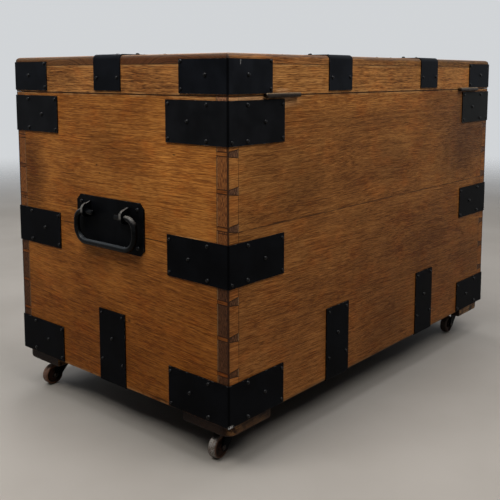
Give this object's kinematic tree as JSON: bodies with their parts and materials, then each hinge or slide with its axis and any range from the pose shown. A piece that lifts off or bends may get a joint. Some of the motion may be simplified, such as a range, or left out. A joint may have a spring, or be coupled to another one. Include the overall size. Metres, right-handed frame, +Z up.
{
  "type": "iron-bound storage chest",
  "caption": "Rectangular dovetailed oak chest with nailed black irons, a hinged lid, drop handles on the ends and swivel casters under the corners.",
  "frame": {"origin": "on the floor under the middle of the chest: centre of the bounding box in X and Y, and Z = 0 where the wheels stand", "axes": "+X along the chest, towards its right end; -Y out of the front with the keyhole, +Y out of the hinged back; +Z up"},
  "size_m": [0.8604, 0.5136, 0.5896],
  "materials": {
    "oak": "satin",
    "oak_inside": "matte",
    "oak_dark": "satin",
    "black_iron": "satin",
    "hinge_steel": "worn",
    "worn_steel": "worn",
    "wheel_iron": "worn"
  },
  "bodies": {
    "chest": {"front_board": "oak", "back_board": "oak", "left_end_board": "oak", "right_end_board": "oak", "bottom_board": "oak_inside", "caster_block_back_right": "oak_dark", "caster_block_back_left": "oak_dark", "caster_block_front_left": "oak_dark", "caster_block_front_right": "oak_dark", "top_bracket_back_right": "black_iron", "middle_bracket_back_right": "black_iron", "bottom_bracket_back_right": "black_iron", "top_bracket_back_left": "black_iron", "middle_bracket_back_left": "black_iron", "bottom_bracket_back_left": "black_iron", "top_bracket_front_left": "black_iron", "middle_bracket_front_left": "black_iron", "bottom_bracket_front_left": "black_iron", "top_bracket_front_right": "black_iron", "middle_bracket_front_right": "black_iron", "bottom_bracket_front_right": "black_iron", "base_straps": "black_iron", "hinge_body_leaf_right": "hinge_steel", "hinge_body_leaf_left": "hinge_steel", "hinge_pin_right": "hinge_steel", "hinge_pin_left": "hinge_steel", "handle_plate_right": "black_iron", "handle_plate_left": "black_iron", "caster_plates": "black_iron", "lock_case": "worn_steel", "escutcheon": "black_iron"},
    "lid": {"lid_top_board": "oak", "lid_front_rail": "oak", "lid_back_rail": "oak", "lid_left_rail": "oak", "lid_right_rail": "oak", "lid_bracket_back_right": "black_iron", "lid_bracket_back_left": "black_iron", "lid_bracket_front_left": "black_iron", "lid_bracket_front_right": "black_iron", "lid_straps": "black_iron", "hinge_lid_leaf_right": "hinge_steel", "hinge_lid_leaf_left": "hinge_steel", "link_plate": "worn_steel"},
    "lock_bolt": {"lock_bolt": "worn_steel"},
    "handle_right": {"handle_bail_right": "black_iron"},
    "handle_left": {"handle_bail_left": "black_iron"},
    "caster_back_right": {"caster_fork_back_right": "black_iron", "caster_axle_back_right": "worn_steel"},
    "wheel_back_right": {"caster_wheel_back_right": "wheel_iron"},
    "caster_back_left": {"caster_fork_back_left": "black_iron", "caster_axle_back_left": "worn_steel"},
    "wheel_back_left": {"caster_wheel_back_left": "wheel_iron"},
    "caster_front_left": {"caster_fork_front_left": "black_iron", "caster_axle_front_left": "worn_steel"},
    "wheel_front_left": {"caster_wheel_front_left": "wheel_iron"},
    "caster_front_right": {"caster_fork_front_right": "black_iron", "caster_axle_front_right": "worn_steel"},
    "wheel_front_right": {"caster_wheel_front_right": "wheel_iron"}
  },
  "joints": [
    {"name": "lid_hinge", "type": "hinge", "parent": "chest", "child": "lid", "pos_m": [0, 0.2565, 0.5293], "axis": [-1, 0, 0], "range_deg": [0, 100]},
    {"name": "handle_right_pivot", "type": "hinge", "parent": "chest", "child": "handle_right", "pos_m": [0.422, 0, 0.3416], "axis": [0, -1, 0], "range_deg": [-3, 178]},
    {"name": "handle_left_pivot", "type": "hinge", "parent": "chest", "child": "handle_left", "pos_m": [-0.422, 0, 0.3416], "axis": [0, 1, 0], "range_deg": [-3, 178]},
    {"name": "lock_bolt_slide", "type": "slide", "parent": "chest", "child": "lock_bolt", "axis": [-1, 0, 0], "range_m": [0, 0.0065]},
    {"name": "caster_back_right_swivel", "type": "hinge", "parent": "chest", "child": "caster_back_right", "pos_m": [0.364, 0.2055, 0], "axis": [0, 0, 1], "continuous": true},
    {"name": "wheel_back_right_spin", "type": "hinge", "parent": "caster_back_right", "child": "wheel_back_right", "pos_m": [0.38492, 0.20733, 0.0175], "axis": [-0.0872, 0.9962, 0], "continuous": true},
    {"name": "caster_back_left_swivel", "type": "hinge", "parent": "chest", "child": "caster_back_left", "pos_m": [-0.364, 0.2055, 0], "axis": [0, 0, 1], "continuous": true},
    {"name": "wheel_back_left_spin", "type": "hinge", "parent": "caster_back_left", "child": "wheel_back_left", "pos_m": [-0.34303, 0.2066, 0.0175], "axis": [-0.0523, 0.9986, 0], "continuous": true},
    {"name": "caster_front_left_swivel", "type": "hinge", "parent": "chest", "child": "caster_front_left", "pos_m": [-0.364, -0.2055, 0], "axis": [0, 0, 1], "continuous": true},
    {"name": "wheel_front_left_spin", "type": "hinge", "parent": "caster_front_left", "child": "wheel_front_left", "pos_m": [-0.34301, -0.20623, 0.0175], "axis": [0.0349, 0.9994, 0], "continuous": true},
    {"name": "caster_front_right_swivel", "type": "hinge", "parent": "chest", "child": "caster_front_right", "pos_m": [0.364, -0.2055, 0], "axis": [0, 0, 1], "continuous": true},
    {"name": "wheel_front_right_spin", "type": "hinge", "parent": "caster_front_right", "child": "wheel_front_right", "pos_m": [0.38497, -0.2066, 0.0175], "axis": [0.0523, 0.9986, 0], "continuous": true}
  ]
}
